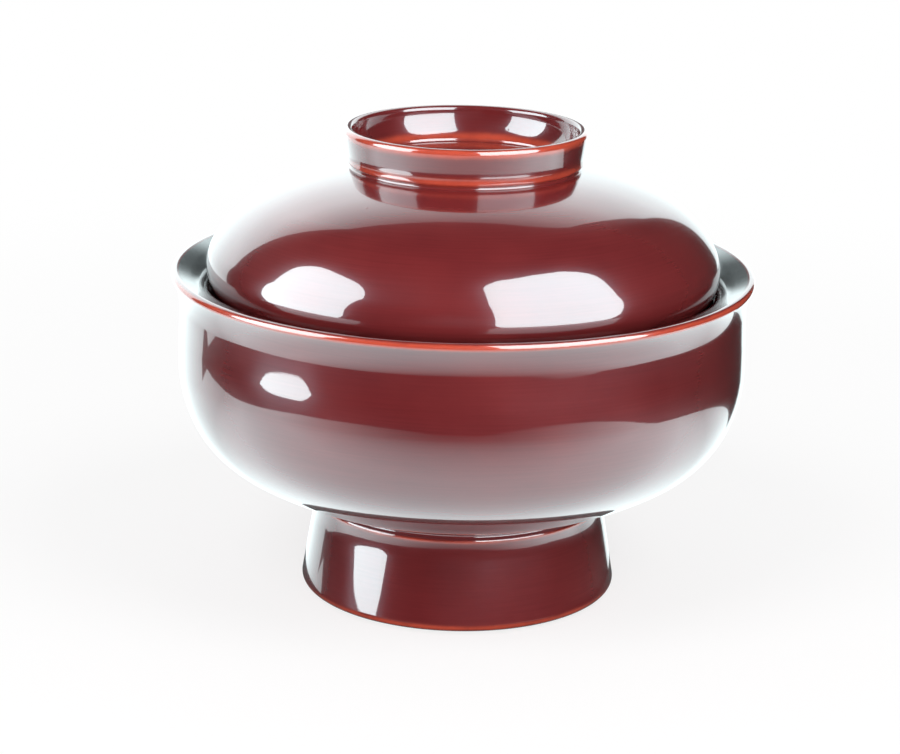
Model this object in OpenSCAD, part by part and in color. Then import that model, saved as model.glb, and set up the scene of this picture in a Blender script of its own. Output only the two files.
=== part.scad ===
// Soup bowl with a lid: two turned wooden cores, each under its coats of lacquer.
// Millimetres, +Z up. The origin is the middle of the ring that the bowl stands on.
// Every profile is a chain of tangent arcs, turned about Z. A coat is the same chain set in by
// the depth of the coats over it, so core and coats always follow one another.

/* [Bowl] */
// Widest diameter of the belly
belly_d = 119.3; // [112:0.1:127]
// Height of the widest line above the joint of bowl and foot
belly_h = 29.4; // [25:0.1:34]
// How much flatter the belly is at its widest line than where it turns under
belly_fullness = 1.34; // [1.1:0.02:1.7]
// Height from the widest line up to the narrow line under the lip
shoulder_h = 12.5; // [8:0.1:18]
// How far the narrow line is set in from the belly
neck_in = 0.31; // [0.15:0.01:0.8]
// Height from the narrow line up to the crest of the lip
lip_h = 6.95; // [5:0.05:10]
// How far the lip leans out past the narrow line
lip_out = 1.67; // [1:0.01:3]
// Thickness of the rounded lip
lip_w = 1.9; // [1.5:0.05:3]
// Thickness of the wall at the belly
wall = 8.9; // [7:0.1:10]
// Thickness of the floor over the recess in the foot
floor_t = 9.5; // [7:0.1:13]
// Radius between the inner wall and the floor
inner_corner_r = 27; // [20:0.5:30]
// Radius of the slightly dished floor
inner_floor_r = 150; // [110:1:260]

/* [Foot] */
// Height of the foot, from the table to its joint with the bowl
foot_h = 20.4; // [17:0.1:26]
// Diameter over the bottom of the foot
foot_d = 67.2; // [60:0.1:74]
// How far the foot flares out below its bead
foot_flare = 2.6; // [1.8:0.05:4]
// Radius of the hollow curve by which the foot flares
foot_curve_r = 25; // [15:0.5:40]
// Radius of the outer bottom edge
foot_edge_r = 1.5; // [1:0.05:2]
// Width of the flat ring that the bowl stands on
rest_w = 1.6; // [1:0.05:3]
// Radius of the inner bottom edge
recess_edge_r = 1; // [0.7:0.05:1.6]
// Depth of the recess
recess_h = 15.5; // [11:0.1:17]
// Lean of the recess's wall, in degrees
recess_draft = 7; // [3:0.5:10]
// Radius between the recess's wall and its ceiling
recess_round = 4; // [2:0.1:6]
// Radius of the bead at the top of the foot
foot_bead_r = 0.8; // [0.65:0.05:1.2]
// Radius of the groove between bead and bowl
foot_groove_r = 0.5; // [0.3:0.05:0.9]

/* [Lid seat] */
// Slope of the inner face just inside the lip, in degrees from level
seat_slope = 17.7; // [12:0.1:24]
// Radius of the curve by which that slope turns down into the inner wall, and on which the lid bears
seat_edge_r = 9; // [6:0.1:11]
// How far out from the inner wall the lid bears on the curve
seat_bearing = 1.98; // [1.2:0.01:3]
// Clearance between the lid and its seat
seat_gap = 0.25; // [0.15:0.01:0.5]

/* [Lid] */
// Height from the widest line of the lid up to the joint of dome and knob
dome_h = 20.68; // [17:0.02:24]
// How much tighter the lid is at its widest line than over its shoulder
dome_fullness = 0.32; // [0.2:0.01:0.5]
// Radius of the lid where it turns in under its widest line
lid_under_r = 9; // [7:0.1:12]
// Turn of that curve before the rim, in degrees
lid_under_turn = 28; // [20:0.5:36]
// Thickness of the rounded rim
lid_rim_w = 2.8; // [2.2:0.05:3.6]
// Thickness of the lid under the floor of the knob
lid_top_t = 5; // [3.5:0.1:7]
// Radius between the lid's inner wall and its ceiling
lid_corner_r = 14; // [10:0.5:16]
// Radius of the lid's slightly dished ceiling
lid_ceiling_r = 185; // [140:1:300]

/* [Knob] */
// Diameter over the lip of the ring knob
knob_d = 50.7; // [44:0.1:58]
// Height of the knob above its joint with the dome
knob_h = 8.3; // [7:0.05:12]
// How far the knob flares out above its bead
knob_flare = 0.8; // [0.5:0.01:1.4]
// Radius of the hollow curve by which the knob flares
knob_curve_r = 8; // [4:0.5:12]
// Thickness of the knob's rounded lip
knob_lip_w = 1.9; // [1.5:0.05:2.6]
// Radius of the bead at the foot of the knob
knob_bead_r = 0.7; // [0.6:0.05:1.1]
// Radius of the groove between bead and dome
knob_groove_r = 0.4; // [0.3:0.05:0.8]
// Height of the knob's floor above the joint with the dome
knob_floor_h = 1.1; // [0.6:0.05:2.4]
// Width of the ring from its bead in to the step round its floor
knob_ring_w = 3.85; // [2.55:0.05:7.05]
// Height of the step round the floor
knob_step_h = 0.9; // [0.7:0.05:1.6]
// Radius of the rounded edge of the step
knob_step_r = 0.8; // [0.65:0.05:1.1]
// Radius between the step and the floor
knob_cove_r = 0.4; // [0.25:0.05:0.8]
// Radius of the knob's hollow inner wall
knob_wall_r = 8; // [6:0.1:20]

/* [Coats] */
// Thickness of the translucent top coat
top_t = 0.2; // [0.12:0.01:0.26]
// Thickness of the vermilion undercoat
under_t = 0.25; // [0.12:0.01:0.3]
// Thickness of the black coat of the inner faces
black_t = 0.4; // [0.2:0.01:0.5]
// Clear film between one layer and the next
bond = 0.02; // [0.01:0.005:0.03]
// How far the outer coats lap in over the lip
lip_lap = 0.3; // [0.1:0.05:0.6]
// Where the outer coats end under the lid's rim, in degrees below level
rim_parting = 120; // [95:1:150]

/* [Hidden] */
// Turns of the belly's three curves and of the dome's, in degrees from the widest line
belly_turns = [22.6, 58.3, 73.4];
dome_turns = [31, 62.8, 79.9];
// Turn of the beads into their grooves
bead_turn = 60;
// Steps of a turned curve: degrees on broad curves and on small edges
broad_step = 3;
edge_step = 12;
broad_from = 6;
// Points closer than this are one point
same_point = 0.001;
$fn = 144;

// Arcs are [centre, radius, first angle, last angle]. The angle is that of the outward normal,
// and a hollow arc has a minus radius.
function toward(a) = [cos(a), sin(a)];
function full_turn(a) = a < 0 ? a + 360 : a;
function arc_at(arc, a, inset) = arc[0] + (arc[1] - inset) * toward(a);
function arc_step(arc) = abs(arc[1]) > broad_from ? broad_step : edge_step;
function arc_count(arc) = max(1, ceil(abs(arc[3] - arc[2]) / arc_step(arc)));
function arc_points(arc, inset) =
    let (n = arc_count(arc))
    [for (i = [0:n]) arc_at(arc, arc[2] + (arc[3] - arc[2]) * i / n, inset)];
function chain(arcs, inset) = [for (arc = arcs) each arc_points(arc, inset)];
function backward(points) = [for (i = [len(points) - 1:-1:0]) points[i]];
function joined(points) =
    [for (i = [0:len(points) - 1])
        if (i == 0 || norm(points[i] - points[i - 1]) > same_point) points[i]];
function along(arc, move, a) = [arc[0] + move, arc[1], a, a];

// A hollow arc that leaves a wall upright and runs on to a round edge: the radius that meets the
// edge itself, and the angle at which a smaller one runs on straight
function flare_r(wall_r, wall_z, edge, edge_r) =
    let (dx = wall_r - edge[0], dz = wall_z - edge[1])
    (dx * dx + dz * dz - edge_r * edge_r) / (2 * (edge_r - dx));
function flare_angle(wall_r, wall_z, edge, edge_r, curve_r) =
    let (span = [wall_r + curve_r, wall_z] - edge)
    atan2(span[1], span[0]) - sign(span[1]) * acos(min(1, (curve_r + edge_r) / norm(span)));

// Three tangent arcs that turn from upright to the last angle over a given width and height
function three_radii(turns, fullness, width, height) =
    let (
        a = fullness * (1 - cos(turns[0])) + cos(turns[0]) - cos(turns[1]),
        b = cos(turns[1]) - cos(turns[2]),
        c = fullness * sin(turns[0]) + sin(turns[1]) - sin(turns[0]),
        d = sin(turns[2]) - sin(turns[1]),
        whole = a * d - b * c,
        middle = (width * d - b * height) / whole,
        last = (a * height - c * width) / whole
    )
    [fullness * middle, middle, last];
function three_arcs(turns, radii, widest, side) =
    let (
        first = widest - [radii[0], 0],
        second = first + (radii[0] - radii[1]) * toward(side * turns[0]),
        third = second + (radii[1] - radii[2]) * toward(side * turns[1])
    )
    [
        [first, radii[0], 0, side * turns[0]],
        [second, radii[1], side * turns[0], side * turns[1]],
        [third, radii[2], side * turns[1], side * turns[2]]
    ];
function turned_round(arcs) = [for (i = [len(arcs) - 1:-1:0]) [arcs[i][0], arcs[i][1], arcs[i][3], arcs[i][2]]];

// A round corner between an upright wall and a dished floor or ceiling: the largest radius that the
// wall has room for, the height at which the corner leaves the wall, and its angle at the dish
function corner_room(wall_h, dish_r, wall_r) =
    (pow(dish_r, 2) - pow(wall_r, 2) - pow(dish_r - wall_h, 2)) / (2 * (dish_r - wall_r));
function corner_z(level, dish_r, corner_r, wall_r, side) =
    level + side * (dish_r - sqrt(pow(dish_r - corner_r, 2) - pow(wall_r - corner_r, 2)));
function corner_angle(level, dish_r, corner_r, wall_r, side) =
    atan2(level + side * dish_r - corner_z(level, dish_r, corner_r, wall_r, side), corner_r - wall_r);

// Joint of a ring and its bowl or dome: its radius, and its distance from the middle of the bead
function neck_r(ring_r, bead_r, groove_r, turn) =
    ring_r - bead_r + (groove_r + bead_r) * cos(bead_turn) - groove_r * cos(turn);
function neck_rise(bead_r, groove_r, turn) =
    groove_r * sin(turn) + (groove_r + bead_r) * sin(bead_turn);

// Depths of the coats
under_from = top_t + bond;
under_to = under_from + under_t;
core_outside = under_to + bond;
core_inside = black_t + bond;

// Bowl: its main lines
belly_r = belly_d / 2;
belly_z = foot_h + belly_h;
waist_r = belly_r - neck_in;
waist_z = belly_z + shoulder_h;
lip_r = lip_w / 2;
lip_c = [waist_r + lip_out - lip_r, waist_z + lip_h - lip_r];
lip_flare_r = flare_r(waist_r, waist_z, lip_c, lip_r);
lip_flare_a = flare_angle(waist_r, waist_z, lip_c, lip_r, lip_flare_r);
neck_turn = 2 * atan(neck_in / shoulder_h);
neck_sweep_r = shoulder_h / (2 * sin(neck_turn));

// Foot: its bead, groove, flare and edges
foot_top_r = foot_d / 2 - foot_flare;
foot_joint_r = neck_r(foot_top_r, foot_bead_r, foot_groove_r, belly_turns[2]);
foot_bead_z = foot_h - neck_rise(foot_bead_r, foot_groove_r, belly_turns[2]);
foot_bead_c = [foot_top_r - foot_bead_r, foot_bead_z];
foot_groove_c = foot_bead_c + (foot_groove_r + foot_bead_r) * toward(bead_turn);
foot_edge_c = [foot_d / 2 - foot_edge_r, foot_edge_r];
foot_side_a = flare_angle(foot_top_r, foot_bead_z, foot_edge_c, foot_edge_r, foot_curve_r);
rest_out = foot_edge_c[0];
rest_in = rest_out - rest_w;
recess_edge_c = [rest_in, recess_edge_r];
recess_cove_z = recess_h - recess_round;
recess_cove_c = [
    rest_in - (recess_edge_r + recess_round) / cos(recess_draft)
        - (recess_cove_z - recess_edge_r) * tan(recess_draft),
    recess_cove_z
];

// Bowl: its seat and inside
seat_a = 90 + seat_slope;
seat_way = [-cos(seat_slope), -sin(seat_slope)];
seat_level = lip_c * toward(seat_a) + lip_r;
inner_r = belly_r - wall;
inner_floor_z = recess_h + floor_t;
inner_corner_z = corner_z(inner_floor_z, inner_floor_r, inner_corner_r, inner_r, 1);
inner_corner_a = corner_angle(inner_floor_z, inner_floor_r, inner_corner_r, inner_r, 1);
seat_edge_x = inner_r + seat_edge_r;
seat_edge_c = [seat_edge_x, (seat_level - seat_edge_r - seat_edge_x * cos(seat_a)) / sin(seat_a)];

// Lid: its rim bears on the seat, and the rest is built up from there
lid_rim_r = lid_rim_w / 2;
lid_bears_a = acos(seat_bearing / seat_edge_r - 1);
lid_rim_c = seat_edge_c + (seat_edge_r + seat_gap + lid_rim_r) * toward(lid_bears_a);
lid_under_c = lid_rim_c - (lid_under_r - lid_rim_r) * toward(-lid_under_turn);
lid_r = lid_under_c[0] + lid_under_r;
lid_widest_z = lid_under_c[1];
lid_inner_r = lid_rim_c[0] - lid_rim_r;

// Knob: its bead, groove, flare, lip and inside
knob_base_r = knob_d / 2 - knob_flare;
knob_joint_r = neck_r(knob_base_r, knob_bead_r, knob_groove_r, dome_turns[2]);
knob_joint_z = lid_widest_z + dome_h;
knob_bead_c = [
    knob_base_r - knob_bead_r,
    knob_joint_z + neck_rise(knob_bead_r, knob_groove_r, dome_turns[2])
];
knob_groove_c = knob_bead_c + (knob_groove_r + knob_bead_r) * toward(-bead_turn);
knob_lip_r = knob_lip_w / 2;
knob_lip_c = [knob_d / 2 - knob_lip_r, knob_joint_z + knob_h - knob_lip_r];
knob_side_a = flare_angle(knob_base_r, knob_bead_c[1], knob_lip_c, knob_lip_r, knob_curve_r);
knob_floor_z = knob_joint_z + knob_floor_h;
knob_floor_d = 2 * (knob_base_r - knob_ring_w);
knob_step_c = [knob_floor_d / 2 + knob_step_r, knob_floor_z + knob_step_h - knob_step_r];
knob_cove_z = knob_floor_z + knob_cove_r;
knob_cove_c = [
    knob_step_c[0] - sqrt(pow(knob_cove_r + knob_step_r, 2) - pow(knob_cove_z - knob_step_c[1], 2)),
    knob_cove_z
];
knob_cove_a = full_turn(atan2(knob_cove_z - knob_step_c[1], knob_cove_c[0] - knob_step_c[0]));
knob_span = knob_lip_c - knob_step_c;
knob_reach = norm(knob_span);
knob_foot_r = knob_wall_r + knob_step_r;
knob_head_r = knob_wall_r + knob_lip_r;
knob_part = (pow(knob_foot_r, 2) - pow(knob_head_r, 2) + pow(knob_reach, 2)) / (2 * knob_reach);
knob_off = sqrt(pow(knob_foot_r, 2) - pow(knob_part, 2));
knob_wall_c = knob_step_c + (knob_part * knob_span + knob_off * [-knob_span[1], knob_span[0]]) / knob_reach;
knob_step_a = atan2(knob_wall_c[1] - knob_step_c[1], knob_wall_c[0] - knob_step_c[0]);
knob_head_a = full_turn(atan2(knob_wall_c[1] - knob_lip_c[1], knob_wall_c[0] - knob_lip_c[0]));
lid_ceiling_z = knob_floor_z - lid_top_t;
lid_corner = min(lid_corner_r, corner_room(lid_ceiling_z - lid_rim_c[1], lid_ceiling_r, lid_inner_r));
lid_corner_z = corner_z(lid_ceiling_z, lid_ceiling_r, lid_corner, lid_inner_r, -1);
lid_corner_a = corner_angle(lid_ceiling_z, lid_ceiling_r, lid_corner, lid_inner_r, -1);

// Outside of the bowl, from the lap inside its lip down to the foot's outer edge
bowl_outside = concat(
    [
        along([lip_c, lip_r], lip_lap * seat_way, seat_a),
        [lip_c, lip_r, seat_a, lip_flare_a],
        [[waist_r + lip_flare_r, waist_z], -lip_flare_r, lip_flare_a, 0],
        [[waist_r + neck_sweep_r, waist_z], -neck_sweep_r, 0, neck_turn],
        [[belly_r - neck_sweep_r, belly_z], neck_sweep_r, neck_turn, 0]
    ],
    three_arcs(
        belly_turns,
        three_radii(belly_turns, belly_fullness, belly_r - foot_joint_r, belly_h),
        [belly_r, belly_z],
        -1
    ),
    [
        [foot_groove_c, -foot_groove_r, -belly_turns[2], bead_turn],
        [foot_bead_c, foot_bead_r, bead_turn, 0],
        [[foot_top_r + foot_curve_r, foot_bead_z], -foot_curve_r, 0, foot_side_a],
        [foot_edge_c, foot_edge_r, foot_side_a, -90]
    ]
);

// Recess of the foot, from its bottom edge up to the middle of its ceiling
foot_recess = [
    [recess_edge_c, recess_edge_r, -90, recess_draft - 180],
    [recess_cove_c, -recess_round, recess_draft - 180, -90],
    [[0, recess_cove_z], -recess_round, -90, -90]
];

// Inside of the bowl, from the end of the outer coats down to the middle of the floor
bowl_inside = [
    along([lip_c, lip_r], (lip_lap + bond) * seat_way, seat_a),
    [seat_edge_c, seat_edge_r, seat_a, 180],
    [[inner_r - inner_corner_r, inner_corner_z], -inner_corner_r, 180, inner_corner_a],
    [[0, inner_floor_z + inner_floor_r], -inner_floor_r, inner_corner_a, 90]
];

// Outside of the lid, from the middle of the knob's floor out to the rim
lid_outside = concat(
    [
        [[0, knob_cove_z], -knob_cove_r, 90, 90],
        [knob_cove_c, -knob_cove_r, 90, knob_cove_a],
        [knob_step_c, knob_step_r, knob_cove_a, knob_step_a],
        [knob_wall_c, -knob_wall_r, knob_step_a, knob_head_a],
        [knob_lip_c, knob_lip_r, knob_head_a, knob_side_a],
        [[knob_base_r + knob_curve_r, knob_bead_c[1]], -knob_curve_r, knob_side_a, 0],
        [knob_bead_c, knob_bead_r, 0, -bead_turn],
        [knob_groove_c, -knob_groove_r, -bead_turn, dome_turns[2]]
    ],
    turned_round(three_arcs(
        dome_turns,
        three_radii(dome_turns, dome_fullness, lid_r - knob_joint_r, dome_h),
        [lid_r, lid_widest_z],
        1
    )),
    [
        [lid_under_c, lid_under_r, 0, -lid_under_turn],
        [lid_rim_c, lid_rim_r, -lid_under_turn, -rim_parting]
    ]
);

// Inside of the lid, from the end of the outer coats up to the middle of the ceiling
lid_inside = [
    [lid_rim_c, lid_rim_r, -rim_parting - bond / lid_rim_r * 180 / PI, -180],
    [[lid_inner_r - lid_corner, lid_corner_z], -lid_corner, -180, lid_corner_a],
    [[0, lid_ceiling_z - lid_ceiling_r], -lid_ceiling_r, lid_corner_a, -90]
];

module turn(points) {
    rotate_extrude()
        polygon(joined(points));
}

module coat(arcs, from, to) {
    turn(concat(chain(arcs, from), backward(chain(arcs, to))));
}

module bowl_core() {
    color("BurlyWood")
        turn(concat(
            chain(bowl_outside, core_outside),
            [
                [rest_out - bond, core_outside],
                [rest_out - bond, 0],
                [rest_in + bond, 0],
                [rest_in + bond, core_inside]
            ],
            chain(foot_recess, core_inside),
            backward(chain(bowl_inside, core_inside))
        ));
}

module bowl_undercoat() {
    color("OrangeRed")
        coat(bowl_outside, under_from, under_to);
}

module bowl_top_coat() {
    color("Maroon")
        coat(bowl_outside, 0, top_t);
}

module bowl_inside_coat() {
    color("Black")
        coat(bowl_inside, 0, black_t);
}

module foot_recess_coat() {
    color("DimGray")
        coat(foot_recess, 0, black_t);
}

module lid_core() {
    color("Peru")
        turn(concat(chain(lid_outside, core_outside), chain(lid_inside, core_inside)));
}

module lid_undercoat() {
    color("Tomato")
        coat(lid_outside, under_from, under_to);
}

module lid_top_coat() {
    color("Brown")
        coat(lid_outside, 0, top_t);
}

module lid_inside_coat() {
    color("DarkSlateGray")
        coat(lid_inside, 0, black_t);
}

bowl_core();
bowl_undercoat();
bowl_top_coat();
bowl_inside_coat();
foot_recess_coat();
lid_core();
lid_undercoat();
lid_top_coat();
lid_inside_coat();
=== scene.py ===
import math

import bpy
import numpy as np
from mathutils import Matrix, Vector


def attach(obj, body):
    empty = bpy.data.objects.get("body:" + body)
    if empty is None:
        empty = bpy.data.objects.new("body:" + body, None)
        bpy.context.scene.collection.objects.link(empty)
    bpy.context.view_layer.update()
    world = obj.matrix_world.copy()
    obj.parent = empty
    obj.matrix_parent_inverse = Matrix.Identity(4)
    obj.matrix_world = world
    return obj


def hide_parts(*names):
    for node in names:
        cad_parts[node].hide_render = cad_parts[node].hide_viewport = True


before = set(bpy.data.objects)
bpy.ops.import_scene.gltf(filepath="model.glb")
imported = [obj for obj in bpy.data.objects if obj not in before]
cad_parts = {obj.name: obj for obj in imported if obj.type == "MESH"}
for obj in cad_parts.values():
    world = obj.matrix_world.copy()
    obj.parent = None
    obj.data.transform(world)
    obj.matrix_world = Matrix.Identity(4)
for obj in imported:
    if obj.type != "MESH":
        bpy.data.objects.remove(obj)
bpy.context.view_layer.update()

# Profiles are in millimetres, as in the solids, and meshes in metres
MM = 0.001

# Fineness of the turned meshes: steps of broad and of small arcs in degrees, the radius from which an
# arc is broad, the step along a straight run, and how much coarser the hidden back of a coat is
SEGMENTS = 288
BROAD_STEP = 1.0
EDGE_STEP = 9.0
BROAD_FROM = 6.0
RUN_STEP = 1.0
BACK_COARSER = 4.0
SAME_POINT = 1e-4

# Sizes of the bowl
belly_d = 119.3
belly_h = 29.4
belly_fullness = 1.34
belly_turns = (22.6, 58.3, 73.4)
shoulder_h = 12.5
neck_in = 0.31
lip_h = 6.95
lip_out = 1.67
lip_w = 1.9
lip_lap = 0.3
wall = 8.9
floor_t = 9.5
inner_corner_r = 27.0
inner_floor_r = 150.0

# Sizes of the foot
foot_h = 20.4
foot_d = 67.2
foot_flare = 2.6
foot_curve_r = 25.0
foot_edge_r = 1.5
foot_bead_r = 0.8
foot_groove_r = 0.5
rest_w = 1.6
recess_edge_r = 1.0
recess_h = 15.5
recess_draft = 7.0
recess_round = 4.0
bead_turn = 60.0

# Sizes of the lid and its seat
seat_slope = 17.7
seat_edge_r = 9.0
seat_bearing = 1.98
seat_gap = 0.25
dome_h = 20.68
dome_fullness = 0.32
dome_turns = (31.0, 62.8, 79.9)
lid_under_r = 9.0
lid_under_turn = 28.0
lid_rim_w = 2.8
rim_parting = 120.0
lid_top_t = 5.0
lid_corner_r = 14.0
lid_ceiling_r = 185.0

# Sizes of the knob
knob_d = 50.7
knob_h = 8.3
knob_flare = 0.8
knob_curve_r = 8.0
knob_lip_w = 1.9
knob_bead_r = 0.7
knob_groove_r = 0.4
knob_floor_h = 1.1
knob_ring_w = 3.85
knob_step_h = 0.9
knob_step_r = 0.8
knob_cove_r = 0.4
knob_wall_r = 8.0

# Thickness of the coats
top_t = 0.2
black_t = 0.4
bond = 0.02

# Where the outer coat runs thin: the angle of the line on its round edge in degrees, how far the coat
# under it shows, and over what distance
lip_thin = (8, 1.0, 0.85)
foot_bead_thin = (0, 0.75, 0.5)
foot_edge_thin = (-25, 0.9, 0.9)
knob_lip_thin = (5, 1.0, 1.2)
knob_step_thin = (100, 0.8, 1.5)
knob_bead_thin = (10, 0.75, 1.4)
rim_thin = (-60, 0.5, 0.6)

# Colours, in linear light
RED_THICK = (0.125, 0.013, 0.0145, 1)
RED_EVEN = (0.165, 0.0185, 0.019, 1)
STREAK_DARK = (0.9, 0.88, 0.88, 1)
STREAK_PALE = (1.06, 1.04, 1.04, 1)
ORANGE_DARK = (0.27, 0.035, 0.022, 1)
ORANGE = (0.5, 0.066, 0.033, 1)
BLACK = (0.0035, 0.0034, 0.0034, 1)
BLACK_BROWN = (0.0075, 0.0062, 0.0058, 1)
VERMILION_DARK = (0.5, 0.045, 0.018, 1)
VERMILION = (0.64, 0.075, 0.03, 1)
WOOD_DARK = (0.3, 0.15, 0.062, 1)
WOOD_PALE = (0.42, 0.235, 0.11, 1)
WOOD_PORE = (0.19, 0.085, 0.035, 1)
HAZE_TINT = (0.6, 0.85, 1.0, 1)

# Roughness of each surface, from its smoothest patches to its dullest
RED_ROUGHNESS = (0.17, 0.23)
BLACK_ROUGHNESS = (0.16, 0.24)
VERMILION_ROUGHNESS = (0.38, 0.55)
WOOD_ROUGHNESS = (0.5, 0.68)

# Orange on the thin lines: how its strength varies along a line, and from where to where it comes in
RAGGED = (0.72, 1.12)
THIN_SHOWS = (0.12, 0.85)

# Textures: patches in a metre, and how high or deep they are in metres
WAVES = 90.0
WAVE_HEIGHT = 1.5e-5
RED_POOLS = 45.0
BLACK_POOLS = 40.0
RAGS = 160.0
CLOUDS = 70.0
RUBS = 2500.0
RUB_HEIGHT = 1e-5
FIBRES = (18, 260, 260)
PORES = (120, 1900, 1900)
PORE_DEPTH = 4e-5

# Parts of a noise's range: the middle, where most of it lies, and the stretch in which pores open
NOISE_LOW = 0.3
NOISE_HIGH = 0.7
PORE_EDGE = (0.62, 0.72)

# Streaks of the brush: patches in the radius of a turn, lines in a metre of the profile, and height
STREAKS_AROUND = 3.0
RED_STREAKS = 2600.0
BLACK_STREAKS = 2200.0
STREAK_HEIGHT = 6e-7

# Dust in the lacquer: cells in a metre, from where to where a speck falls off in its cell, and the share
# of cells that have none
DUST_CELLS = 110.0
DUST_EDGE = (0.012, 0.03)
DUST_FREE = 0.8
DUST_HEIGHT = 2.5e-5

# Levels of the light, where 1 is white; what is brighter is seen by gloss alone
WORLD_LEVEL = 0.56
ROOM_DARK = 0.04
PAPER_WHITE = 3.0
SOFTBOX_WHITE = 12
# Level of the painted shadow under the foot, a dark disc that gloss alone sees
CONTACT_SHADOW_LEVEL = 0.12
COOL = (0.86, 0.985, 1.0, 1)

# Floor: its grey to the camera, its grey to the light, and its share of plain white at the object
FLOOR_PALE = 0.86
FLOOR_BOUNCE = 0.3
FLOOR_GLOW = 0.75

# Places in the studio, in metres: a sheet has its left, right, low and high edge, and the radius of each
# corner from the low left one round
FLOOR_EDGES = (-2, 2, -2, 2)
FLOOR_CORNERS = (0.1, 0.1, 0.1, 0.1)
FLOOR_Z = -0.0002
SHADOW_TO = 0.1
WHITE_FROM = 0.4
# Disc of painted shadow under the foot, seen by gloss alone: its radius, its step round in degrees, and
# its height
CONTACT_R = 0.04
CONTACT_STEP = 5
CONTACT_Z = -0.0001
PAPER_EDGES = (-0.73, 0.68, -0.72, 0.4)
PAPER_CORNERS = (0.62, 0.45, 0.4, 0.01)
PAPER_Z = -0.15
MIDDLE = (0, 0, 0.05)
CORNER_POINTS = 13

# Edge of the backdrop's dark oval, from where to where it clears, by the square of the reach
OVAL_EDGE = (0.3, 1.2)


# Geometry of the profiles: an arc is its centre, its radius (minus where it is hollow), and the first
# and last angle of its outward normal in degrees

def toward(angle):
    return np.array([math.cos(math.radians(angle)), math.sin(math.radians(angle))])


def angle_of(span):
    return math.degrees(math.atan2(span[1], span[0]))


def flare_radius(wall_r, wall_z, edge, edge_r):
    """Radius of a hollow arc that leaves an upright wall and meets a round edge."""
    dx, dz = wall_r - edge[0], wall_z - edge[1]
    return (dx * dx + dz * dz - edge_r * edge_r) / (2 * (edge_r - dx))


def flare_angle(wall_r, wall_z, edge, edge_r, curve_r):
    """Angle at which a hollow arc of a given radius runs on straight to a round edge."""
    span = np.array([wall_r + curve_r, wall_z]) - edge
    meet = min(1.0, (curve_r + edge_r) / np.linalg.norm(span))
    return angle_of(span) - math.copysign(math.degrees(math.acos(meet)), span[1])


def three_arcs(turns, fullness, widest, width, height, side):
    """Three tangent arcs that turn from upright to the last angle over a width and a height."""
    first_way, second_way, last_way = (toward(turn) for turn in turns)
    across = np.array([
        fullness * (1 - first_way[0]) + first_way[0] - second_way[0], second_way[0] - last_way[0]
    ])
    along = np.array([
        fullness * first_way[1] + second_way[1] - first_way[1], last_way[1] - second_way[1]
    ])
    middle, last = np.linalg.solve(np.array([across, along]), np.array([width, height]))
    first = fullness * middle
    first_c = np.array(widest) - [first, 0]
    second_c = first_c + (first - middle) * toward(side * turns[0])
    third_c = second_c + (middle - last) * toward(side * turns[1])
    return [
        (first_c, first, 0.0, side * turns[0]),
        (second_c, middle, side * turns[0], side * turns[1]),
        (third_c, last, side * turns[1], side * turns[2]),
    ]


def dished_corner(level, dish_r, corner_r, wall_r, side):
    """Height at which a round corner leaves its wall, and its angle at the dish."""
    rise = math.sqrt((dish_r - corner_r) ** 2 - (wall_r - corner_r) ** 2)
    height = level + side * (dish_r - rise)
    return height, angle_of((corner_r - wall_r, level + side * dish_r - height))


def neck(ring_r, bead_r, groove_r, turn):
    """Radius of the joint of a ring with its bowl or dome, and its distance from the bead."""
    reach = (groove_r + bead_r) * toward(bead_turn)
    return ring_r - bead_r + reach[0] - groove_r * toward(turn)[0], groove_r * toward(turn)[1] + reach[1]


def thin_line(centre, radius, thin):
    """Place of a thin line on a round edge, how far the coat under it shows, and over what distance."""
    angle, amount, width = thin
    return centre + radius * toward(angle), amount, width


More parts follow.
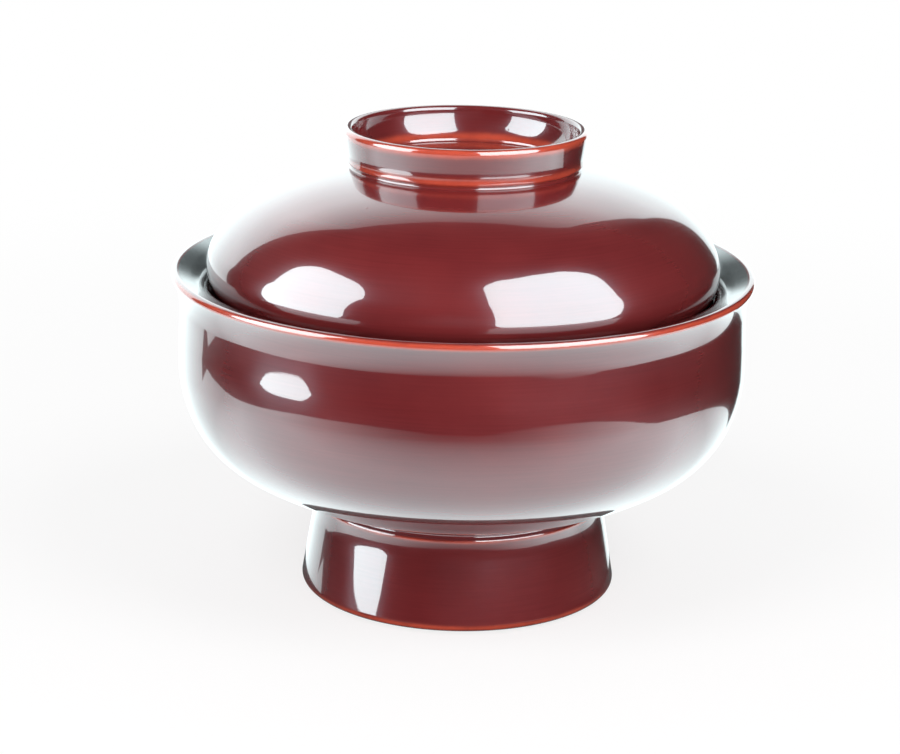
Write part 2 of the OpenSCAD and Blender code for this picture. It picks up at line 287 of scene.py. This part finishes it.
def bowl_profiles():
    """Outside, recess and inside of the bowl, its thin lines, and the centre of the lid's seat."""
    belly_r = belly_d / 2
    belly_z = foot_h + belly_h
    waist_r = belly_r - neck_in
    waist_z = belly_z + shoulder_h
    lip_r = lip_w / 2
    lip_c = np.array([waist_r + lip_out - lip_r, waist_z + lip_h - lip_r])
    flare_r = flare_radius(waist_r, waist_z, lip_c, lip_r)
    flare_a = flare_angle(waist_r, waist_z, lip_c, lip_r, flare_r)
    neck_turn = 2 * math.degrees(math.atan(neck_in / shoulder_h))
    sweep_r = shoulder_h / (2 * toward(neck_turn)[1])

    top_r = foot_d / 2 - foot_flare
    joint_r, rise = neck(top_r, foot_bead_r, foot_groove_r, belly_turns[2])
    bead_c = np.array([top_r - foot_bead_r, foot_h - rise])
    groove_c = bead_c + (foot_groove_r + foot_bead_r) * toward(bead_turn)
    edge_c = np.array([foot_d / 2 - foot_edge_r, foot_edge_r])
    side_a = flare_angle(top_r, bead_c[1], edge_c, foot_edge_r, foot_curve_r)

    seat_a = 90 + seat_slope
    seat_way = -toward(seat_slope)
    outside = [
        (lip_c + lip_lap * seat_way, lip_r, seat_a, seat_a),
        (lip_c, lip_r, seat_a, flare_a),
        (np.array([waist_r + flare_r, waist_z]), -flare_r, flare_a, 0.0),
        (np.array([waist_r + sweep_r, waist_z]), -sweep_r, 0.0, neck_turn),
        (np.array([belly_r - sweep_r, belly_z]), sweep_r, neck_turn, 0.0),
        *three_arcs(belly_turns, belly_fullness, (belly_r, belly_z), belly_r - joint_r, belly_h, -1),
        (groove_c, -foot_groove_r, -belly_turns[2], bead_turn),
        (bead_c, foot_bead_r, bead_turn, 0.0),
        (np.array([top_r + foot_curve_r, bead_c[1]]), -foot_curve_r, 0.0, side_a),
        (edge_c, foot_edge_r, side_a, -90.0),
    ]

    rest_in = edge_c[0] - rest_w
    cove_z = recess_h - recess_round
    slope = toward(recess_draft)
    cove_r = (
        rest_in - (recess_edge_r + recess_round) / slope[0]
        - (cove_z - recess_edge_r) * slope[1] / slope[0]
    )
    recess = [
        (np.array([rest_in, recess_edge_r]), recess_edge_r, -90.0, recess_draft - 180),
        (np.array([cove_r, cove_z]), -recess_round, recess_draft - 180, -90.0),
        (np.array([0.0, cove_z]), -recess_round, -90.0, -90.0),
    ]

    inner_r = belly_r - wall
    inner_floor_z = recess_h + floor_t
    corner_z, corner_a = dished_corner(inner_floor_z, inner_floor_r, inner_corner_r, inner_r, 1)
    seat_x = inner_r + seat_edge_r
    seat_level = lip_c @ toward(seat_a) + lip_r - seat_edge_r
    seat_c = np.array([seat_x, (seat_level - seat_x * toward(seat_a)[0]) / toward(seat_a)[1]])
    inside = [
        (lip_c + (lip_lap + bond) * seat_way, lip_r, seat_a, seat_a),
        (seat_c, seat_edge_r, seat_a, 180.0),
        (np.array([inner_r - inner_corner_r, corner_z]), -inner_corner_r, 180.0, corner_a),
        (np.array([0.0, inner_floor_z + inner_floor_r]), -inner_floor_r, corner_a, 90.0),
    ]
    thin_lines = [
        thin_line(lip_c, lip_r, lip_thin),
        thin_line(bead_c, foot_bead_r, foot_bead_thin),
        thin_line(edge_c, foot_edge_r, foot_edge_thin),
    ]
    return outside, recess, inside, thin_lines, seat_c


def lid_profiles(seat_c):
    """Outside and inside of the lid, set on its seat, and its thin lines."""
    rim_r = lid_rim_w / 2
    bears_a = math.degrees(math.acos(seat_bearing / seat_edge_r - 1))
    rim_c = seat_c + (seat_edge_r + seat_gap + rim_r) * toward(bears_a)
    under_c = rim_c - (lid_under_r - rim_r) * toward(-lid_under_turn)
    lid_r = under_c[0] + lid_under_r
    inner_r = rim_c[0] - rim_r

    base_r = knob_d / 2 - knob_flare
    joint_r, rise = neck(base_r, knob_bead_r, knob_groove_r, dome_turns[2])
    joint_z = under_c[1] + dome_h
    bead_c = np.array([base_r - knob_bead_r, joint_z + rise])
    groove_c = bead_c + (knob_groove_r + knob_bead_r) * toward(-bead_turn)
    lip_r = knob_lip_w / 2
    lip_c = np.array([knob_d / 2 - lip_r, joint_z + knob_h - lip_r])
    side_a = flare_angle(base_r, bead_c[1], lip_c, lip_r, knob_curve_r)

    floor_z = joint_z + knob_floor_h
    step_c = np.array([base_r - knob_ring_w + knob_step_r, floor_z + knob_step_h - knob_step_r])
    cove_z = floor_z + knob_cove_r
    cove_reach = math.sqrt((knob_cove_r + knob_step_r) ** 2 - (cove_z - step_c[1]) ** 2)
    cove_c = np.array([step_c[0] - cove_reach, cove_z])
    cove_a = angle_of(cove_c - step_c) % 360
    span = lip_c - step_c
    reach = np.linalg.norm(span)
    foot_r = knob_wall_r + knob_step_r
    head_r = knob_wall_r + lip_r
    part = (foot_r ** 2 - head_r ** 2 + reach ** 2) / (2 * reach)
    off = math.sqrt(foot_r ** 2 - part ** 2)
    wall_c = step_c + (part * span + off * np.array([-span[1], span[0]])) / reach
    step_a = angle_of(wall_c - step_c) % 360
    head_a = angle_of(wall_c - lip_c) % 360

    dome = three_arcs(dome_turns, dome_fullness, (lid_r, under_c[1]), lid_r - joint_r, dome_h, 1)
    outside = [
        (np.array([0.0, cove_z]), -knob_cove_r, 90.0, 90.0),
        (cove_c, -knob_cove_r, 90.0, cove_a),
        (step_c, knob_step_r, cove_a, step_a),
        (wall_c, -knob_wall_r, step_a, head_a),
        (lip_c, lip_r, head_a, side_a),
        (np.array([base_r + knob_curve_r, bead_c[1]]), -knob_curve_r, side_a, 0.0),
        (bead_c, knob_bead_r, 0.0, -bead_turn),
        (groove_c, -knob_groove_r, -bead_turn, dome_turns[2]),
        *[(centre, radius, last, first) for centre, radius, first, last in reversed(dome)],
        (under_c, lid_under_r, 0.0, -lid_under_turn),
        (rim_c, rim_r, -lid_under_turn, -rim_parting),
    ]

    ceiling_z = floor_z - lid_top_t
    corner_z, corner_a = dished_corner(ceiling_z, lid_ceiling_r, lid_corner_r, inner_r, -1)
    inside = [
        (rim_c, rim_r, -rim_parting - math.degrees(bond / rim_r), -180.0),
        (np.array([inner_r - lid_corner_r, corner_z]), -lid_corner_r, -180.0, corner_a),
        (np.array([0.0, ceiling_z - lid_ceiling_r]), -lid_ceiling_r, corner_a, -90.0),
    ]
    thin_lines = [
        thin_line(lip_c, lip_r, knob_lip_thin),
        thin_line(step_c, knob_step_r, knob_step_thin),
        thin_line(bead_c, knob_bead_r, knob_bead_thin),
        thin_line(rim_c, rim_r, rim_thin),
    ]
    return outside, inside, thin_lines


# Turned meshes

def sampled(arcs, inset=0.0, coarser=1.0):
    """Points along a chain of arcs set in by a depth, and the angle of the surface at each."""
    points = []
    angles = []
    for centre, radius, first, last in arcs:
        step = coarser * (EDGE_STEP if abs(radius) < BROAD_FROM else BROAD_STEP)
        count = max(1, math.ceil(abs(last - first) / step))
        for angle in np.linspace(first, last, count + 1):
            point = centre + (radius - inset) * toward(angle)
            gap = np.linalg.norm(point - points[-1]) if points else 1.0
            if gap < SAME_POINT:
                continue
            runs = math.ceil(gap / (coarser * RUN_STEP)) if points and angle == first else 1
            start = points[-1] if points else point
            for share in np.arange(1, runs + 1) / runs:
                points.append(start + (point - start) * share)
                angles.append(angle)
    return np.array(points), np.array(angles)


def turned_mesh(name, points, angles, thin):
    """A closed profile turned about Z, with its true normals and its thin lines."""
    count = len(points)
    pole = points[:, 0] < SAME_POINT
    turns = 2 * math.pi * np.arange(SEGMENTS) / SEGMENTS
    ring = np.stack([np.cos(turns), np.sin(turns)], 1)
    starts = np.concatenate([[0], np.cumsum(np.where(pole, 1, SEGMENTS))])
    places = []
    normals = []
    for (radius, height), angle, is_pole in zip(points, angles, pole):
        way = toward(angle)
        around = ring[:1] if is_pole else ring
        places.append(np.column_stack([radius * around, np.full(len(around), height)]))
        normals.append(np.column_stack([way[0] * around, np.full(len(around), way[1])]))
    tangent = points[1] - points[0]
    outward = np.dot([-tangent[1], tangent[0]], toward(angles[0])) > 0
    here = np.arange(SEGMENTS)
    onward = (here + 1) % SEGMENTS
    faces = []
    for i in range(count):
        j = (i + 1) % count
        if pole[i] and pole[j]:
            continue
        if pole[i]:
            quads = np.stack([np.full(SEGMENTS, starts[i]), starts[j] + here, starts[j] + onward], 1)
        elif pole[j]:
            quads = np.stack([starts[i] + here, np.full(SEGMENTS, starts[j]), starts[i] + onward], 1)
        else:
            quads = np.stack(
                [starts[i] + here, starts[j] + here, starts[j] + onward, starts[i] + onward], 1
            )
        faces += (quads if outward else quads[:, ::-1]).tolist()
    mesh = bpy.data.meshes.new(name)
    mesh.from_pydata((np.concatenate(places) * MM).tolist(), [], faces)
    mesh.polygons.foreach_set("use_smooth", np.ones(len(mesh.polygons), bool))
    lengths = np.concatenate([[0], np.cumsum(np.linalg.norm(np.diff(points, axis=0), axis=1))])
    for title, values in (("thin", thin), ("along", lengths * MM)):
        spread = np.repeat(values, np.where(pole, 1, SEGMENTS)).astype(np.float32)
        mesh.attributes.new(title, "FLOAT", "POINT").data.foreach_set("value", spread)
    mesh.normals_split_custom_set_from_vertices(np.concatenate(normals).tolist())
    return mesh


def coat(node, arcs, depth, thin_lines, body, material):
    """A coat of lacquer in the place of its CAD node: a chain of arcs and the same chain set in."""
    face, face_angles = sampled(arcs)
    back, back_angles = sampled(arcs, depth, BACK_COARSER)
    points = np.concatenate([face, back[::-1]])
    angles = np.concatenate([face_angles, back_angles[::-1] + 180])
    thin = np.zeros(len(points))
    for crest, amount, width in thin_lines:
        away = np.linalg.norm(points - crest, axis=1) / width
        thin = np.maximum(thin, amount * np.exp(-away ** 2))
    mesh = turned_mesh(node + "_skin", points, angles, thin)
    piece = bpy.data.objects.new(node + "_skin", mesh)
    bpy.context.scene.collection.objects.link(piece)
    mesh.materials.append(material)
    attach(piece, body)
    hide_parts(node)


# Materials

def add(tree, kind, inputs=None, **settings):
    """A node with its settings; an input is a value, or the output of another node."""
    made = tree.nodes.new(kind)
    for title, value in settings.items():
        setattr(made, title, value)
    for title, value in (inputs or {}).items():
        socket = made.inputs[title]
        if isinstance(value, bpy.types.NodeSocket):
            tree.links.new(value, socket)
        else:
            socket.default_value = value
    return made


def math_of(tree, operation, first, second=0.0):
    return add(tree, "ShaderNodeMath", {0: first, 1: second}, operation=operation).outputs[0]


def vector_of(tree, operation, first, second=(0, 0, 0)):
    return add(tree, "ShaderNodeVectorMath", {0: first, 1: second}, operation=operation).outputs[0]


def place_of(tree):
    return add(tree, "ShaderNodeTexCoord").outputs["Object"]


def ranged(tree, value, low, high, first, last, interpolation="LINEAR"):
    inputs = {"Value": value, "From Min": low, "From Max": high, "To Min": first, "To Max": last}
    return add(tree, "ShaderNodeMapRange", inputs, interpolation_type=interpolation).outputs[0]


def stretched(tree, value, first=0.0, last=1.0, low=NOISE_LOW, high=NOISE_HIGH):
    """The middle of a noise's range drawn out between two values."""
    return ranged(tree, value, low, high, first, last)


def mixed(tree, share, first, second, blend="MIX"):
    inputs = {"Factor": share, 6: first, 7: second}
    return add(tree, "ShaderNodeMix", inputs, data_type="RGBA", blend_type=blend).outputs[2]


def noise(tree, vector, scale, detail=2.0, roughness=0.5):
    inputs = {"Vector": vector, "Scale": scale, "Detail": detail, "Roughness": roughness}
    return add(tree, "ShaderNodeTexNoise", inputs).outputs["Fac"]


def bumped(tree, height, distance, strength=1.0, under=None, **settings):
    """A bump of a height in metres, over the normal of another bump where there is one."""
    inputs = {"Height": height, "Strength": strength, "Distance": distance}
    if under is not None:
        inputs["Normal"] = under
    return add(tree, "ShaderNodeBump", inputs, **settings).outputs[0]


def new_material(name):
    material = bpy.data.materials.new(name)
    material.use_nodes = True
    tree = material.node_tree
    return material, tree, tree.nodes["Principled BSDF"]


def link_surface(tree, shader, outputs):
    """Link the outputs that make a surface to the inputs of its shader, by their names."""
    for title, output in outputs.items():
        tree.links.new(output, shader.inputs[title])


def brush_streaks(tree, along):
    """Streaks of the brush, long round the axis and narrow along the profile."""
    level = vector_of(tree, "MULTIPLY", place_of(tree), (1, 1, 0))
    ring = vector_of(tree, "NORMALIZE", level)
    wide = vector_of(tree, "MULTIPLY", ring, (STREAKS_AROUND,) * 3)
    length = add(tree, "ShaderNodeAttribute", attribute_name="along").outputs["Fac"]
    rise = add(tree, "ShaderNodeCombineXYZ", {"Z": math_of(tree, "MULTIPLY", length, along)}).outputs[0]
    return noise(tree, vector_of(tree, "ADD", wide, rise), 1.0, detail=3.0, roughness=0.6)


def lacquer_bump(tree, streak):
    """The slow unevenness of a brushed coat, its faint turning lines and a few specks of dust in it."""
    place = place_of(tree)
    slow = bumped(tree, noise(tree, place, WAVES, detail=1.0), WAVE_HEIGHT)
    lines = bumped(tree, streak, STREAK_HEIGHT, under=slow)
    cells = add(tree, "ShaderNodeTexVoronoi", {"Vector": place, "Scale": DUST_CELLS}).outputs
    pick = add(tree, "ShaderNodeSeparateColor", {"Color": cells["Color"]}).outputs["Red"]
    speck = ranged(tree, cells["Distance"], *DUST_EDGE, 1.0, 0.0, "SMOOTHSTEP")
    rare = math_of(tree, "MULTIPLY", speck, math_of(tree, "GREATER_THAN", pick, DUST_FREE))
    return bumped(tree, rare, DUST_HEIGHT, under=lines)


def polish(tree, shader, colour, roughness, streak):
    """A clear polished surface over the colour and its haze."""
    bump = lacquer_bump(tree, streak)
    link_surface(tree, shader, {"Base Color": colour, "Roughness": roughness})
    link_surface(tree, shader, {"Normal": bump, "Coat Normal": bump})
    shader.inputs["IOR"].default_value = 1.5
    shader.inputs["Specular IOR Level"].default_value = 0.25
    shader.inputs["Specular Tint"].default_value = HAZE_TINT
    shader.inputs["Coat Weight"].default_value = 1.0
    shader.inputs["Coat Roughness"].default_value = 0.02
    shader.inputs["Coat IOR"].default_value = 1.6


def translucent_lacquer():
    """Red-brown lacquer, darker where it lies thick and orange where the coat under it shows."""
    material, tree, shader = new_material("translucent_lacquer")
    place = place_of(tree)
    streak = brush_streaks(tree, RED_STREAKS)
    pool = noise(tree, place, RED_POOLS, detail=3.0)
    depth = mixed(tree, stretched(tree, pool), RED_THICK, RED_EVEN)
    drawn = mixed(tree, stretched(tree, streak), STREAK_DARK, STREAK_PALE)
    body = mixed(tree, 1.0, depth, drawn, "MULTIPLY")
    thin = add(tree, "ShaderNodeAttribute", attribute_name="thin").outputs["Fac"]
    rags = noise(tree, place, RAGS, detail=4.0, roughness=0.6)
    worn = math_of(tree, "MULTIPLY", thin, stretched(tree, rags, *RAGGED, low=0.25, high=0.75))
    share = ranged(tree, worn, *THIN_SHOWS, 0.0, 1.0, "SMOOTHSTEP")
    colour = mixed(tree, share, body, mixed(tree, share, ORANGE_DARK, ORANGE))
    roughness = stretched(tree, pool, *RED_ROUGHNESS, low=0.2, high=0.8)
    polish(tree, shader, colour, roughness, streak)
    return material


def black_lacquer():
    """Black lacquer, with the faintest brown where it is brushed out thinner."""
    material, tree, shader = new_material("black_lacquer")
    pool = stretched(tree, noise(tree, place_of(tree), BLACK_POOLS, detail=3.0))
    colour = mixed(tree, pool, BLACK, BLACK_BROWN)
    roughness = ranged(tree, pool, 0.0, 1.0, *BLACK_ROUGHNESS)
    polish(tree, shader, colour, roughness, brush_streaks(tree, BLACK_STREAKS))
    return material


def vermilion_lacquer():
    """Opaque vermilion undercoat, rubbed down with a fine stone."""
    material, tree, shader = new_material("vermilion_lacquer")
    place = place_of(tree)
    cloud = stretched(tree, noise(tree, place, CLOUDS, detail=4.0, roughness=0.6))
    rubbed = noise(tree, place, RUBS)
    colour = mixed(tree, cloud, VERMILION_DARK, VERMILION)
    roughness = stretched(tree, rubbed, *VERMILION_ROUGHNESS)
    bump = bumped(tree, rubbed, RUB_HEIGHT, strength=0.4)
    link_surface(tree, shader, {"Base Color": colour, "Roughness": roughness, "Normal": bump})
    return material


def turned_wood():
    """Close-grained wood: long fibres across the block, and pores along them."""
    material, tree, shader = new_material("turned_wood")
    place = place_of(tree)
    fibre = vector_of(tree, "MULTIPLY", place, FIBRES)
    year = stretched(tree, noise(tree, fibre, 1.0, detail=4.0, roughness=0.6))
    specks = noise(tree, vector_of(tree, "MULTIPLY", place, PORES), 1.0)
    pores = ranged(tree, specks, *PORE_EDGE, 0.0, 1.0)
    colour = mixed(tree, pores, mixed(tree, year, WOOD_DARK, WOOD_PALE), WOOD_PORE)
    roughness = ranged(tree, year, 0.0, 1.0, *WOOD_ROUGHNESS)
    bump = bumped(tree, pores, PORE_DEPTH, strength=0.5, invert=True)
    link_surface(tree, shader, {"Base Color": colour, "Roughness": roughness, "Normal": bump})
    return material


# Studio

def grey(level):
    return (level, level, level, 1)


def make_world():
    """White for the camera, an even level for the colours, and a dark room for gloss."""
    world = bpy.data.worlds.new("studio")
    bpy.context.scene.world = world
    world.use_nodes = True
    tree = world.node_tree
    ray = add(tree, "ShaderNodeLightPath").outputs
    unseen = add(tree, "ShaderNodeMix", {0: ray["Is Glossy Ray"], 2: WORLD_LEVEL, 3: ROOM_DARK})
    seen = math_of(tree, "MAXIMUM", ray["Is Camera Ray"], ray["Is Transmission Ray"])
    level = add(tree, "ShaderNodeMix", {0: seen, 2: unseen.outputs[0], 3: 1.0})
    background = tree.nodes["Background"]
    background.inputs["Color"].default_value = grey(1.0)
    tree.links.new(level.outputs[0], background.inputs["Strength"])


def rounded(edges, corners):
    """Outline of a flat sheet, with the radius of each corner from the low left one round."""
    left, right, low, high = edges
    points = []
    ends = ((left, low, 180), (right, low, 270), (right, high, 0), (left, high, 90))
    for (x, y, start), radius in zip(ends, corners):
        inward = np.array([1 if x == left else -1, 1 if y == low else -1])
        for angle in np.linspace(start, start + 90, CORNER_POINTS):
            points.append((*(np.array([x, y]) + radius * inward + radius * toward(angle)), 0.0))
    return points


def sheet(name, points, matrix, material):
    mesh = bpy.data.meshes.new(name)
    mesh.from_pydata(points, [], [range(len(points))])
    mesh.materials.append(material)
    made = bpy.data.objects.new(name, mesh)
    made.matrix_world = matrix
    bpy.context.scene.collection.objects.link(made)
    return made


def floor_material():
    """A pale floor that is white to the camera and keeps its shadow near the object."""
    material, tree, shader = new_material("floor")
    tree.nodes.remove(shader)
    ray = add(tree, "ShaderNodeLightPath").outputs
    place = add(tree, "ShaderNodeNewGeometry").outputs["Position"]
    away = add(tree, "ShaderNodeVectorMath", {0: place}, operation="LENGTH").outputs["Value"]
    glow = ranged(tree, away, SHADOW_TO, WHITE_FROM, FLOOR_GLOW, 1.0, "SMOOTHSTEP")
    pale = add(tree, "ShaderNodeBsdfDiffuse", {"Color": grey(FLOOR_PALE)}).outputs[0]
    white = add(tree, "ShaderNodeEmission", {"Strength": 1.0}).outputs[0]
    shown = add(tree, "ShaderNodeMixShader", {0: glow, 1: pale, 2: white}).outputs[0]
    bounce = add(tree, "ShaderNodeBsdfDiffuse", {"Color": grey(FLOOR_BOUNCE)}).outputs[0]
    whole = add(tree, "ShaderNodeMixShader", {0: ray["Is Camera Ray"], 1: bounce, 2: shown})
    tree.links.new(whole.outputs[0], tree.nodes["Material Output"].inputs["Surface"])
    return material


def dark_oval(tree, axes, x, y, half_width, half_height, share):
    """A share of the light in the middle of an oval and all of it outside, with a soft edge."""
    reach = 0.0
    for axis, middle, half in (("X", x, half_width), ("Y", y, half_height)):
        away = math_of(tree, "DIVIDE", math_of(tree, "SUBTRACT", axes[axis], middle), half)
        reach = math_of(tree, "ADD", math_of(tree, "MULTIPLY", away, away), reach)
    return ranged(tree, reach, *OVAL_EDGE, share, 1.0, "SMOOTHSTEP")


def lit_material(name, strength, fades=(), oval=None):
    """Light, where 1 is white, that changes to a share of its strength along an axis of the sheet,
    and in a dark oval."""
    material, tree, shader = new_material(name)
    tree.nodes.remove(shader)
    axes = add(tree, "ShaderNodeSeparateXYZ", {"Vector": place_of(tree)}).outputs
    level = strength
    for axis, start, end, share in fades:
        level = math_of(tree, "MULTIPLY", ranged(tree, axes[axis], start, end, 1.0, share), level)
    if oval:
        level = math_of(tree, "MULTIPLY", dark_oval(tree, axes, **oval), level)
    white = add(tree, "ShaderNodeEmission", {"Color": COOL, "Strength": level}).outputs[0]
    tree.links.new(white, tree.nodes["Material Output"].inputs["Surface"])
    return material


def for_gloss(made):
    """Leave a sheet to be seen in gloss alone."""
    made.visible_camera = False
    made.visible_diffuse = False
    made.visible_shadow = False


def lying(height):
    return Matrix.Translation((0, 0, height))


def card(name, material, turn, distance, edges, corners, spread=(0, 0)):
    """An upright sheet for gloss, at a turn in degrees round from straight behind and with heights
    from the floor; its left and right sides may spread with height."""
    away = math.radians(turn)
    place = (distance * math.sin(away), distance * math.cos(away), 0)
    stand = Matrix.Rotation(-away, 4, "Z") @ Matrix.Rotation(math.pi / 2, 4, "X")
    outline = []
    for x, y, z in rounded(edges, corners):
        lean = -spread[0] if x < 0 else spread[1]
        outline.append((x + lean * (y - edges[2]), y, z))
    for_gloss(sheet(name, outline, Matrix.Translation(place) @ stand, material))


def lamp(name, place, size, energy):
    """A soft lamp for the colours, which gloss doesn't see."""
    light = bpy.data.lights.new(name, "AREA")
    light.shape = "DISK"
    light.size = size
    light.energy = energy
    made = bpy.data.objects.new(name, light)
    aim = (Vector(MIDDLE) - Vector(place)).to_track_quat("-Z", "Y")
    made.matrix_world = Matrix.Translation(Vector(place)) @ aim.to_matrix().to_4x4()
    made.visible_glossy = False
    bpy.context.scene.collection.objects.link(made)


def make_camera():
    """The camera that takes the photograph's view, from its focal length in pixels of the picture."""
    picture_width = 900
    focal_pixels = 2575.8
    lift = math.radians(16.43)
    distance = 0.5479
    roll = math.radians(1.07)
    aim = Vector((-0.00234, 0, 0.04489))
    data = bpy.data.cameras.new("camera")
    data.sensor_width = 36
    data.lens = focal_pixels / picture_width * data.sensor_width
    data.clip_start = 0.01
    eye = aim + distance * Vector((0, -math.cos(lift), math.sin(lift)))
    turn = Matrix.Rotation(math.pi / 2 - lift, 4, "X") @ Matrix.Rotation(roll, 4, "Z")
    camera = bpy.data.objects.new("camera", data)
    camera.matrix_world = Matrix.Translation(eye) @ turn
    bpy.context.scene.collection.objects.link(camera)
    bpy.context.scene.camera = camera


# Coats in the place of their CAD nodes

red = translucent_lacquer()
black = black_lacquer()
bowl_outside, foot_recess, bowl_inside, bowl_thin, seat_c = bowl_profiles()
lid_outside, lid_inside, lid_thin = lid_profiles(seat_c)
coat("bowl_top_coat", bowl_outside, top_t, bowl_thin, "bowl", red)
coat("bowl_inside_coat", bowl_inside, black_t, [], "bowl", black)
coat("foot_recess_coat", foot_recess, black_t, [], "bowl", black)
coat("lid_top_coat", lid_outside, top_t, lid_thin, "lid", red)
coat("lid_inside_coat", lid_inside, black_t, [], "lid", black)

# Cores and undercoats, which keep their CAD meshes

wood = turned_wood()
vermilion = vermilion_lacquer()
for node, material in (
    ("bowl_core", wood), ("lid_core", wood), ("bowl_undercoat", vermilion), ("lid_undercoat", vermilion)
):
    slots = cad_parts[node].data.materials
    slots.clear()
    slots.append(material)

# World and floor

make_world()
floor = sheet("floor", rounded(FLOOR_EDGES, FLOOR_CORNERS), lying(FLOOR_Z), floor_material())
floor.visible_glossy = False

# Sheets that only gloss sees; a fade is an axis, where it starts and ends, and the share at its end

# A dark disc under the foot that gloss alone sees: painted shadow where the foot meets the floor
painted_contact_shadow = [(*(CONTACT_R * toward(angle)), 0.0) for angle in range(0, 360, CONTACT_STEP)]
for_gloss(sheet("painted_contact_shadow", painted_contact_shadow, lying(CONTACT_Z), lit_material("painted_contact_shadow", CONTACT_SHADOW_LEVEL)))
paper_fades = [
    ("Y", -0.2, -0.72, 0.1),
    ("Y", 0.05, 0.2, 0.6),
    ("X", 0.1, 0.45, 1.2),
    ("X", -0.1, -0.45, 1.2),
]
paper = lit_material("paper", PAPER_WHITE, paper_fades)
for_gloss(sheet("paper", rounded(PAPER_EDGES, PAPER_CORNERS), lying(PAPER_Z), paper))
backdrop_fades = [
    ("Y", 0.42, 0.88, 0.0),
    ("Y", 0.25, 0.05, 0.7),
    ("X", -0.3, 0.24, 0.72),
]
oval = {"x": 0.004, "y": 0.168, "half_width": 0.068, "half_height": 0.08, "share": 0.06}
card(
    "backdrop", lit_material("backdrop", PAPER_WHITE, backdrop_fades, oval), turn=0, distance=0.4,
    edges=(-0.62, 0.24, PAPER_Z, 0.77), corners=(0.01, 0.01, 0.12, 0.58)
)
softbox = lit_material("softbox", SOFTBOX_WHITE)
card(
    "softbox_left", softbox, turn=-110.3, distance=0.45,
    edges=(-0.165, 0.18, -0.043, 0.585), corners=(0.11, 0.13, 0.15, 0.13), spread=(0.0, 0.1)
)
card(
    "softbox_right", softbox, turn=139, distance=0.3,
    edges=(-0.13, 0.162, 0.03, 0.7), corners=(0.04, 0.03, 0.1, 0.24), spread=(0.27, 0.0)
)

# Lamps and camera

lamp("lamp_left", place=(-0.5, -0.6, 0.9), size=0.6, energy=5.0)
lamp("lamp_right", place=(0.6, -0.5, 0.9), size=0.6, energy=5.0)
lamp("lamp_low", place=(0, -0.9, 0.12), size=0.5, energy=5.0)
make_camera()
bpy.context.scene.view_settings.view_transform = "Standard"
